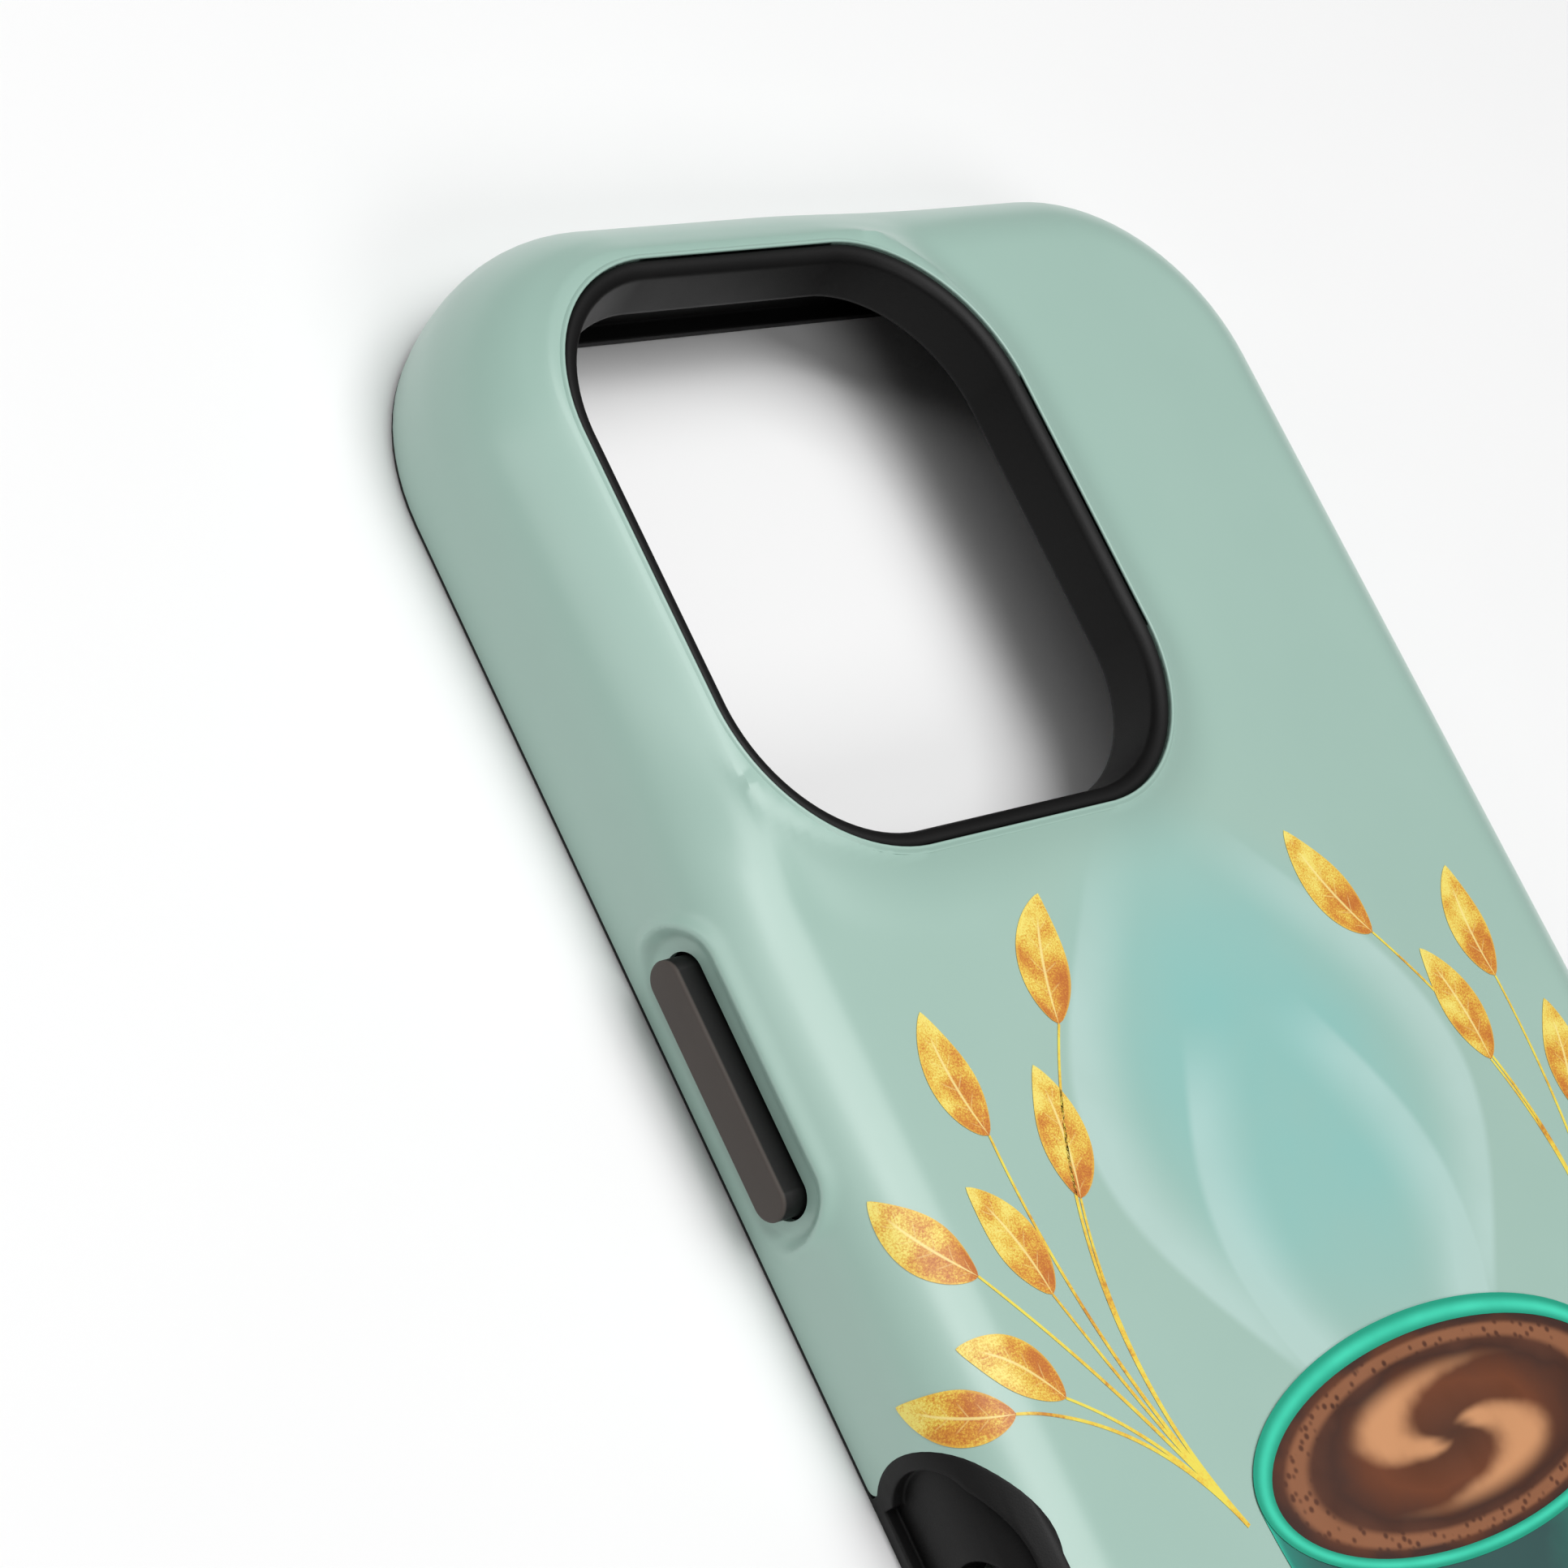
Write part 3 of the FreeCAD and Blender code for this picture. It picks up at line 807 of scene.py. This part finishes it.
def control_cutter():
    bm = bmesh.new()
    half = control_outline()
    ring = [(d, z) for d, z in half] + [(-d, z) for d, z in reversed(half)]
    verts = [bm.verts.new((-half_x - 4 * mm, control_y + d, z)) for d, z in ring]
    face = bm.faces.new(verts)
    made = bmesh.ops.extrude_face_region(bm, geom=[face])["geom"]
    bmesh.ops.translate(bm, verts=[g for g in made if isinstance(g, bmesh.types.BMVert)],
                        vec=(4 * mm + 2 * back_round, 0, 0))
    bmesh.ops.recalc_face_normals(bm, faces=bm.faces)
    return bm


def shell_cutter():
    """Everything that is cut through the shell, as one helper object."""
    plugs = [window_plug(back_z - cut_reach, window_top_z + cut_reach), control_cutter(),
             end_cutter(0, *port_size, port_z)]
    plugs += [end_cutter(s * sound_slot_x, *sound_slot_size, port_z) for s in (-1, 1)]
    plugs += [slot_cutter(name) for group in recess_groups for name in group]
    joined = bpy.data.meshes.new("shell_cutter")
    whole = bmesh.new()
    for plug in plugs:
        plug.to_mesh(joined)
        plug.free()
        whole.from_mesh(joined)
    whole.to_mesh(joined)
    whole.free()
    helper = bpy.data.objects.new("shell_cutter", joined)
    bpy.context.scene.collection.objects.link(helper)
    return helper


def cut_with(made, helper):
    cut = made.modifiers.new("openings", "BOOLEAN")
    cut.operation = "DIFFERENCE"
    cut.solver = "EXACT"
    cut.object = helper
    return apply_modifiers(made)


def on_outside(point):
    """Whether a point of the plain shell is on its outer skin."""
    inset = plan_of(point.x, point.y)[0]
    if inset > back_round:
        return point.z > back_z - shell_wall / 2
    if point.z < round_z:
        return inset < side_inset + shell_wall / 8
    return math.hypot(back_round - inset, point.z - round_z) > back_round - shell_wall / 2


def shaped_shell():
    """The shell with its camera rise, button pockets and lifted ends, before the openings."""
    bm = plain_shell()
    refine_recess_zones(bm)
    for vert in bm.verts:
        if on_outside(vert.co):
            vert.co = recessed(raised(vert.co.copy()))
        vert.co = lifted_rim(vert.co.copy())
    return bm


def turned_ring(profile, half_w, half_l, corner):
    """Closed ring whose section is given as (distance outside the outline, z)."""
    bm = bmesh.new()
    loops = [round_loop(bm, half_w + out, half_l + out, corner + out, level * mm, window_steps)
             for level, (out, z) in enumerate(profile)]
    for here, there in zip(loops, loops[1:] + loops[:1]):
        bmesh.ops.bridge_loops(bm, edges=here + there)
    for loop, (out, z) in zip(loops, profile):
        for edge in loop:
            for vert in edge.verts:
                vert.co.z = z
    bmesh.ops.translate(bm, verts=bm.verts, vec=(window_x, window_y, 0))
    bmesh.ops.recalc_face_normals(bm, faces=bm.faces)
    return bm


def window_bead():
    """Raised bead that runs round the camera window on the shell."""
    sunk = hill_top_z - shell_wall / 2
    profile = [(0.0, sunk), (0.0, window_top_z - window_bevel)]
    for turn in spread(0.0, math.pi / 2, math.pi / 10)[1:]:
        profile.append((window_bevel * (1 - math.cos(turn)),
                        window_top_z - window_bevel * (1 - math.sin(turn))))
    start = profile[-1][0]
    for turn in spread(0.0, math.pi, math.pi / 10)[1:]:
        profile.append((start + (bead_width - start) * turn / math.pi,
                        window_top_z - 1.4 * bead_height * (1 - math.cos(turn)) / 2))
    profile.append((bead_width, sunk))
    return turned_ring(profile, window_half_x, window_half_y, window_corner)


def make_shell(bm, helper):
    made = piece("printed_shell", bm, [mint_shell_finish()], "case_body",
                 ["outer_shell"])
    cut_with(made, helper)
    add_ring(made, window_bead())
    return made


def add_ring(made, ring):
    """Join a finished ring into a piece and set the piece's shading."""
    mesh = bpy.data.meshes.new("ring")
    ring.to_mesh(mesh)
    ring.free()
    bm = bmesh.new()
    bm.from_mesh(made.data)
    bm.from_mesh(mesh)
    shade_by_angle(bm, 32)
    bm.to_mesh(made.data)
    bm.free()
    bpy.data.meshes.remove(mesh)


button_boxes_of = {names[0]: button_boxes(names) for names in recess_groups}


# The print

class Skin:
    """Places on the shell by (u across the back and round its edge, v along the case)."""

    def __init__(self, bm):
        self.tree = BVHTree.FromBMesh(bm)
        self.flat = half_x - back_round

    def point(self, u, v, lift):
        side = math.copysign(1, u)
        past = abs(u) - self.flat
        turn = min(max(past / back_round, 0.0), math.pi / 2)
        drop = max(past - back_round * math.pi / 2, 0.0)
        out = Vector((side * math.sin(turn), 0, math.cos(turn)))
        start = Vector((side * min(abs(u), self.flat), v, round_z - drop))
        place, normal, _, _ = self.tree.ray_cast(start + out * 2 * back_round, -out)
        return place + normal * lift


def print_patch(bm, skin, steps, place, lift):
    """A patch of print whose points come from place(along 0..1, across -1..1) as (u, v)."""
    layer = bm.loops.layers.uv.get("leaf_map") or bm.loops.layers.uv.new("leaf_map")
    made = bmesh.ops.create_grid(bm, x_segments=steps[0], y_segments=steps[1], size=1)["verts"]
    for face in {face for vert in made for face in vert.link_faces}:
        for loop in face.loops:
            loop[layer].uv = (loop.vert.co.x / 2 + 0.5, loop.vert.co.y / 2 + 0.5)
    for vert in made:
        vert.co = skin.point(*place(vert.co.x / 2 + 0.5, vert.co.y), lift)


def bent(a, b, bow, t):
    """A point t of the way from a to b on a bowed line, and the direction across it."""
    run = Vector(b) - Vector(a)
    across = Vector((-run.y, run.x)).normalized()
    middle = Vector(a) + run * t + across * bow * 4 * t * (1 - t)
    heading = run + across * bow * 4 * (1 - 2 * t)
    return middle, Vector((-heading.y, heading.x)).normalized()


def print_leaf(bm, skin, base, tip, width, bow, step):
    """Pointed leaf, widest nearer its base."""
    def place(along, across):
        middle, side = bent(base, tip, bow, along)
        half = width / 2 * math.sin(math.pi * along ** 0.85) ** 0.8
        return middle + side * half * across

    length = (Vector(tip) - Vector(base)).length
    steps = (round(length / step), max(8, round(width / step)))
    print_patch(bm, skin, steps, place, print_lift)


def print_stem(bm, skin, points, width, lift):
    """Thin line through a start, a middle and an end, tapering to its end."""
    start, middle, end = (Vector(p) for p in points)
    pull = 2 * middle - (start + end) / 2

    def place(along, across):
        back = 1 - along
        heading = (pull - start) * back + (end - pull) * along
        side = Vector((-heading.y, heading.x)).normalized()
        here = start * back * back + pull * 2 * back * along + end * along * along
        return here + side * across * width * (1 - 0.45 * along) / 2

    length = (end - start).length
    print_patch(bm, skin, (max(16, round(length / stem_step)), 2), place, lift)


def finish_print(bm):
    """Merge pinched ends and give the print its thickness."""
    bmesh.ops.remove_doubles(bm, verts=bm.verts, dist=merge_gap / 4)
    bmesh.ops.recalc_face_normals(bm, faces=bm.faces)
    for face in bm.faces:
        out = Vector((math.copysign(0.5, face.calc_center_median().x), 0, 1))
        if face.normal.dot(out) < 0:
            face.normal_flip()
    bm.normal_update()
    under = bm.verts[:]
    bmesh.ops.extrude_face_region(bm, geom=bm.faces[:], use_keep_orig=True)
    for vert in under:
        vert.co -= vert.normal * print_lift / 2
    bmesh.ops.recalc_face_normals(bm, faces=bm.faces)
    shade_by_angle(bm, 40)


def print_piece(name, skin, draw, finish, helper=None):
    bm = bmesh.new()
    draw(bm)
    finish_print(bm)
    made = piece(name, bm, [finish], "case_body")
    return cut_with(made, helper) if helper else made


def draw_leaves(skin, leaves, step):
    def draw(bm):
        for base, tip, width, bow in leaves:
            print_leaf(bm, skin, base, tip, width, bow, step)
    return draw


def draw_stems(skin, stems):
    def draw(bm):
        for i, points in enumerate(stems):
            lift = print_lift * (1 - 0.5 * i / len(stems))
            print_stem(bm, skin, points, stem_width, lift)
    return draw


def draw_ring(skin, outer, inner, start, turn, lift, steps):
    """Part of an oval ring from its outer to its inner (centre x, centre y, half x, half y)."""
    def place(along, across):
        t = start + turn * along
        share = (across + 1) / 2
        cx, cy, rx, ry = (a + (b - a) * share for a, b in zip(inner, outer))
        return Vector((cx + rx * math.cos(t), cy + ry * math.sin(t)))
    return lambda bm: print_patch(bm, skin, steps, place, lift)


def draw_cup_side(skin):
    """The cup below its rim: straight-topped taper with a rounded foot."""
    x, y, half, tall = cup_x, cup_y, cup_half, cup_oval

    def place(along, across):
        turn = across * math.pi / 2
        taper = 1 - cup_taper * along ** 1.6
        top = y - tall * math.cos(turn)
        foot = y - cup_height - tall * 0.8 * math.cos(turn)
        return Vector((x + half * taper * math.sin(turn), top + (foot - top) * along))
    return lambda bm: print_patch(bm, skin, (28, 40), place, 2 * print_lift)


def heading(side, lean):
    """Direction that leans outwards from straight up the case."""
    return Vector((side * math.sin(lean), math.cos(lean)))


def grown_sprig(side):
    """The stems as (root, middle, end) and the leaves as (base, tip, width, bow) of one sprig."""
    root = Vector((side * sprig_root_x, sprig_root_y))
    stems, leaves = [], []
    for i in range(sprig_stems):
        share = i / (sprig_stems - 1)
        lean, reach, length = (low + (high - low) * share
                               for low, high in (sprig_lean, sprig_reach, leaf_length))
        if i % 2:
            reach *= sprig_alternate
        middle = root + heading(side, (lean + sprig_common_lean) / 2) * reach / 2
        end = root + heading(side, lean) * reach
        tip = end + (end - middle).normalized() * length
        stems.append((root, middle, end))
        leaves.append((end, tip, leaf_slim * length, leaf_bow * (-1) ** i))
    return stems, leaves


def add_print(skin, helper):
    foil, line, rim = foil_leaf_finish(), foil_stem_finish(), cup_rim_finish()
    sprigs = [grown_sprig(side) for side in (-1, 1)]
    stems = [stem for sprig in sprigs for stem in sprig[0]]
    leaves = [leaf for sprig in sprigs for leaf in sprig[1]]
    over_edge = [leaf for leaf in leaves if abs(leaf[1].x) > edge_leaf_start]
    on_back = [leaf for leaf in leaves if abs(leaf[1].x) <= edge_leaf_start]
    print_piece("print_edge_leaves", skin, draw_leaves(skin, over_edge, print_step / 2), foil,
                helper)
    print_piece("print_leaves", skin, draw_leaves(skin, on_back, print_step), foil)
    print_piece("print_stems", skin, draw_stems(skin, stems), line)
    print_piece("print_cup_side", skin, draw_cup_side(skin), cup_side_finish())
    outer = (cup_x, cup_y, cup_half, cup_oval)
    inner = (cup_x, cup_y - cup_rim / 5, cup_half - cup_rim, cup_oval - cup_rim * 0.8)
    middle = (cup_x, cup_y - cup_rim / 5, 0.0, 0.0)
    print_piece("print_cup_rim", skin,
                draw_ring(skin, outer, inner, 0.0, full_turn, 4 * print_lift, (96, 4)), rim)
    print_piece("print_coffee", skin,
                draw_ring(skin, inner, middle, 0.0, full_turn, 3 * print_lift, (96, 14)),
                coffee_finish())
    handle_x, handle_y = cup_x + cup_half * 0.9, cup_y - cup_height * 0.5
    handle = (handle_x, handle_y, *handle_reach)
    hollow = (handle_x, handle_y + handle_hole_rise, *handle_hole)
    print_piece("print_cup_handle", skin,
                draw_ring(skin, handle, hollow, 0.0, full_turn, print_lift, (72, 6)), rim)


# Keys

def make_key(name, finish):
    """One key: a nub against the phone's button, a flange that keeps it in, and a rounded cap."""
    side, mid_y, mid_z, length, height = button_boxes([name])
    low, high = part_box(name)
    tip = min(abs(low.x), abs(high.x))
    flange_face = half_x - boss_depth - flange_gap
    flange_back = flange_face - flange_thickness
    half = height / 2

    def level(x, border):
        r = half + border
        return r, length / 2 + border, r, x - half_x

    def nub(x):
        return nub_half, length / 2 - nub_short, nub_half, x - half_x

    levels = [nub(tip), nub(flange_back - key_edge / 4), level(flange_back, flange_border),
              level(flange_face, flange_border), level(flange_face + key_edge / 4, 0)]
    levels.append(level(key_face_x - key_edge, 0))
    for i in range(1, 6):
        turn = math.pi / 2 * i / 5
        levels.append(level(key_face_x - key_crown - key_edge * (1 - math.sin(turn)),
                            -key_edge * (1 - math.cos(turn))))
    for share in (0.5, 0.9):
        levels.append(level(key_face_x - key_crown * (1 - share), -half * share))
    bm = stacked_plug(levels)
    bmesh.ops.rotate(bm, verts=bm.verts, cent=(0, 0, 0), matrix=Matrix.Rotation(math.pi / 2, 3, "Y"))
    if side < 0:
        bmesh.ops.scale(bm, verts=bm.verts, vec=(-1, 1, 1))
    bmesh.ops.translate(bm, verts=bm.verts, vec=(side * half_x, mid_y, mid_z))
    bmesh.ops.recalc_face_normals(bm, faces=bm.faces)
    shade_by_angle(bm, 32)
    made = piece(name + "_key", bm, [finish], name, [name])
    weight_normals(made)
    return made


# Pieces taken over from the CAD part

def window_collar():
    """Rubber frame inside the camera window: rounded outside, falling away to a tapered throat."""
    low = phone_back_z
    crest = window_top_z - collar_drop
    profile = [(-collar_fit, low), (-collar_fit, crest - collar_round)]
    for turn in spread(0.0, math.pi / 2, math.pi / 10)[1:]:
        profile.append((-collar_fit - collar_round * (1 - math.cos(turn)),
                        crest - collar_round * (1 - math.sin(turn))))
    start = profile[-1][0]
    for turn in spread(0.0, math.pi / 2, math.pi / 16)[1:]:
        profile.append((start - (collar_wall + start) * math.sin(turn),
                        crest - collar_fall * (1 - math.cos(turn))))
    profile.append((-collar_wall - collar_taper, low))
    return turned_ring(profile, window_half_x, window_half_y, window_corner)


def soften_control_edges(bm):
    """Round the edges of the rubber round the touch-control opening."""
    bm.normal_update()
    reach = control_half_length + control_foot_step
    edges = []
    for edge in bm.edges:
        middle = (edge.verts[0].co + edge.verts[1].co) / 2
        near = middle.x < -half_x + back_round and abs(middle.y - control_y) < reach
        lower = middle.z > rim_z / 2 and middle.x < -core_x - phone_side_gap
        if near and lower and edge.calc_face_angle(0.0) > math.radians(35):
            edges.append(edge)
    bmesh.ops.bevel(bm, geom=edges, affect="EDGES", offset=control_softness, segments=3,
                    profile=0.5, material=-1, clamp_overlap=True)


def make_liner():
    """The rubber liner: the CAD form with softened edges and a shaped frame in its window."""
    bm = bmesh.new()
    bm.from_mesh(frame["nodes"]["inner_liner"].data)
    bmesh.ops.remove_doubles(bm, verts=bm.verts, dist=merge_gap)
    bmesh.ops.dissolve_limit(bm, angle_limit=math.radians(0.05), verts=bm.verts, edges=bm.edges)
    soften_control_edges(bm)
    made = piece("liner", bm, [black_liner_finish()], "case_body", ["inner_liner"])
    plug = window_plug(phone_back_z - liner_cut_reach, window_top_z + liner_cut_reach)
    mesh = bpy.data.meshes.new("collar_cutter")
    plug.to_mesh(mesh)
    plug.free()
    cutter = bpy.data.objects.new("collar_cutter", mesh)
    bpy.context.scene.collection.objects.link(cutter)
    cut_with(made, cutter)
    bpy.data.objects.remove(cutter)
    add_ring(made, window_collar())
    weight_normals(made)
    return made


# Camera, light and floor

def aim(made, place, target, roll=0.0):
    """Stand at `place`, look at `target`, turned about the line of sight by `roll` degrees."""
    look = (target - place).normalized()
    turn = look.to_track_quat("-Z", "Y").to_matrix() @ Matrix.Rotation(math.radians(roll), 3, "Z")
    made.matrix_world = Matrix.Translation(place) @ turn.to_4x4()


def add_camera():
    data = bpy.data.cameras.new("camera")
    data.lens = 95.0
    data.sensor_width = 36.0
    data.clip_start = 1 * mm
    camera = bpy.data.objects.new("camera", data)
    bpy.context.scene.collection.objects.link(camera)
    distance = 260.6 * mm
    azimuth, elevation, roll = math.radians(71.49), math.radians(42.46), 51.46
    target = Vector((-29.94 * mm, 35.52 * mm, back_z))
    away = Vector((-math.sin(azimuth) * math.cos(elevation),
                   -math.cos(azimuth) * math.cos(elevation), math.sin(elevation)))
    aim(camera, target + away * distance, target, roll)
    bpy.context.scene.camera = camera


def add_softbox(name, place, target, size, power):
    data = bpy.data.lights.new(name, "AREA")
    data.shape = "RECTANGLE"
    data.size, data.size_y = size
    data.energy = power
    light = bpy.data.objects.new(name, data)
    bpy.context.scene.collection.objects.link(light)
    aim(light, Vector(place), Vector(target))


def add_studio():
    world = bpy.data.worlds.new("studio")
    world.use_nodes = True
    tree = world.node_tree
    background = tree.nodes["Background"]
    background.inputs["Color"].default_value = (1.0, 1.0, 1.0, 1.0)
    seen = tree.nodes.new("ShaderNodeLightPath")
    strength = tree.nodes.new("ShaderNodeMapRange")
    strength.inputs["To Min"].default_value = 0.12
    strength.inputs["To Max"].default_value = 0.9
    tree.links.new(seen.outputs["Is Camera Ray"], strength.inputs["Value"])
    tree.links.new(strength.outputs["Result"], background.inputs["Strength"])
    bpy.context.scene.world = world
    bpy.context.scene.view_settings.view_transform = "Standard"
    add_softbox("top_light", (0.05, 0.1, 0.8), (0, 0.02, 0), (0.7, 0.7), 5.2)
    add_softbox("fill_light", (-0.1, -0.6, 0.6), (0, 0.02, 0), (0.5, 0.3), 1.6)
    add_softbox("edge_light", (-0.3, 0.14, 0.36), (-0.036, 0.035, 0), (0.07, 0.7), 0.55)
    bm = bmesh.new()
    bmesh.ops.create_grid(bm, x_segments=8, y_segments=8, size=1.5)
    bmesh.ops.translate(bm, verts=bm.verts, vec=(0, 0, -0.02 * mm))
    mesh = bpy.data.meshes.new("studio_floor")
    bm.to_mesh(mesh)
    bm.free()
    floor = bpy.data.objects.new("studio_floor", mesh)
    bpy.context.scene.collection.objects.link(floor)
    f = Finish("pale_floor")
    tone = f.blend(f.noise(50 * mm, 4.0), shade(246, 246, 246), shade(250, 250, 250))
    mesh.materials.append(f.surface(Base_Color=tone, Roughness=0.8))


helper = shell_cutter()
plain = shaped_shell()
skin = Skin(plain)
make_shell(plain, helper)
add_print(skin, helper)
bpy.data.objects.remove(helper)
make_liner()
button_finish = grey_button_finish()
for joint in frame["joints"]:
    make_key(joint["child"], button_finish)
magnet = magnet_finish()
tape = tape_finish("pale_tape", shade(226, 222, 208), shade(204, 200, 186))
film = tape_finish("white_film", shade(238, 238, 240), shade(222, 222, 226))
for node, material in (("ring_magnets", magnet), ("alignment_magnets", magnet),
                       ("ring_adhesive", tape), ("alignment_adhesive", tape),
                       ("ring_cover_film", film), ("alignment_cover_film", film)):
    frame["nodes"][node].data.materials.clear()
    frame["nodes"][node].data.materials.append(material)

add_camera()
add_studio()
